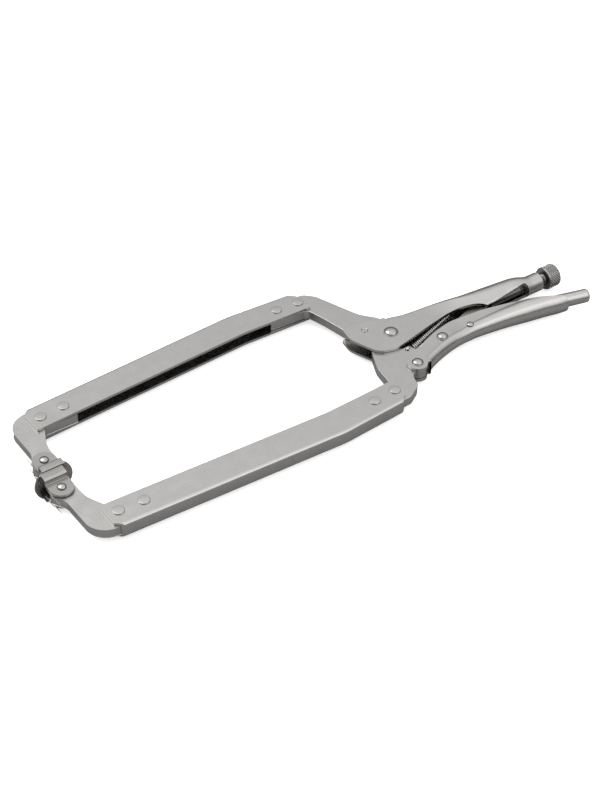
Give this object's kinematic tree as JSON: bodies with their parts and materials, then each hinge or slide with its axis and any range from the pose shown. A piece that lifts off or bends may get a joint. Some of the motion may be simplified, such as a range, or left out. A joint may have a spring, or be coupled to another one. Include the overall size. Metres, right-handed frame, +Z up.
{
  "type": "long-reach locking clamp pliers",
  "caption": "Long-reach locking pliers with a deep C-shaped throat: two channel arms with swivel pads, toggle-locked handles, an adjusting screw and a release lever.",
  "frame": {"origin": "centre of the bounding box's bottom face: the clamp lies on its side, and its mid-plane is parallel to the floor", "axes": "+X runs from the pads to the adjusting knob, +Y points to the fixed arm, +Z is up through the thickness"},
  "size_m": [0.4582, 0.1596, 0.0208],
  "materials": {
    "sheet_steel": "satin nickel plate on pressed sheet",
    "forged_steel": "satin nickel plate on forged plate",
    "rivet_steel": "bright, domed by pressing",
    "spring_wire": "drawn wire",
    "screw_steel": "machined, lightly oiled"
  },
  "bodies": {
    "fixed_frame": {"fixed_handle": "sheet_steel", "fixed_jaw": "forged_steel", "fixed_arm": "sheet_steel", "fixed_far_jaw": "forged_steel", "fixed_arm_rivet_1": "rivet_steel", "fixed_arm_rivet_2": "rivet_steel", "fixed_arm_rivet_3": "rivet_steel", "fixed_arm_rivet_4": "rivet_steel", "main_pivot_rivet": "rivet_steel", "fixed_jaw_rivet": "rivet_steel", "fixed_pad_rivet": "rivet_steel", "jaw_spring": "spring_wire"},
    "moving_jaw": {"moving_jaw": "forged_steel", "moving_arm": "sheet_steel", "moving_far_jaw": "forged_steel", "moving_arm_rivet_1": "rivet_steel", "moving_arm_rivet_2": "rivet_steel", "moving_arm_rivet_3": "rivet_steel", "moving_arm_rivet_4": "rivet_steel", "moving_pad_rivet": "rivet_steel"},
    "moving_handle": {"moving_handle": "sheet_steel", "handle_pivot_rivet": "rivet_steel", "link_rivet": "rivet_steel", "lever_rivet": "rivet_steel"},
    "toggle_link": {"toggle_link": "forged_steel"},
    "release_lever": {"release_lever": "forged_steel"},
    "adjusting_screw": {"adjusting_screw": "screw_steel"},
    "screw_knob": {"screw_knob": "sheet_steel"},
    "fixed_pad": {"fixed_pad": "sheet_steel"},
    "moving_pad": {"moving_pad": "sheet_steel"}
  },
  "joints": [
    {"name": "jaw_swing", "type": "hinge", "parent": "fixed_frame", "child": "moving_jaw", "pos_m": [0.06959, -0.00725, 0.0104], "axis": [0, 0, 1], "range_deg": [0, 14], "deforming": ["jaw_spring"]},
    {"name": "handle_swing", "type": "hinge", "parent": "moving_jaw", "child": "moving_handle", "pos_m": [0.06339, -0.04755, 0.0104], "axis": [0, 0, 1], "range_deg": [-46, 0]},
    {"name": "link_swing", "type": "hinge", "parent": "moving_handle", "child": "toggle_link", "pos_m": [0.09779, -0.03375, 0.0104], "axis": [0, 0, 1], "range_deg": [0, 56]},
    {"name": "lever_swing", "type": "hinge", "parent": "moving_handle", "child": "release_lever", "pos_m": [0.12379, -0.03475, 0.0104], "axis": [0, 0, 1], "range_deg": [0, 6]},
    {"name": "screw_travel", "type": "slide", "parent": "fixed_frame", "child": "adjusting_screw", "axis": [1, 0, 0], "range_m": [0, 0.0125]},
    {"name": "knob_turn", "type": "hinge", "parent": "adjusting_screw", "child": "screw_knob", "pos_m": [0.21359, -0.01585, 0.0104], "axis": [1, 0, 0], "range_deg": [0, 3600]},
    {"name": "fixed_pad_swivel", "type": "hinge", "parent": "fixed_frame", "child": "fixed_pad", "pos_m": [-0.21231, 0.01535, 0.0104], "axis": [0, 0, 1], "range_deg": [0, 7]},
    {"name": "moving_pad_swivel", "type": "hinge", "parent": "moving_jaw", "child": "moving_pad", "pos_m": [-0.21551, -0.01535, 0.0104], "axis": [0, 0, 1], "range_deg": [-7, 0]}
  ],
  "couplings": [
    {"joint": "handle_swing", "follows": "jaw_swing", "ratio": -3.267},
    {"joint": "link_swing", "follows": "jaw_swing", "ratio": 3.994},
    {"joint": "fixed_pad_swivel", "follows": "jaw_swing", "ratio": 0.5},
    {"joint": "moving_pad_swivel", "follows": "jaw_swing", "ratio": -0.5},
    {"joint": "knob_turn", "follows": "screw_travel", "rad_per_m": 5026.5}
  ]
}
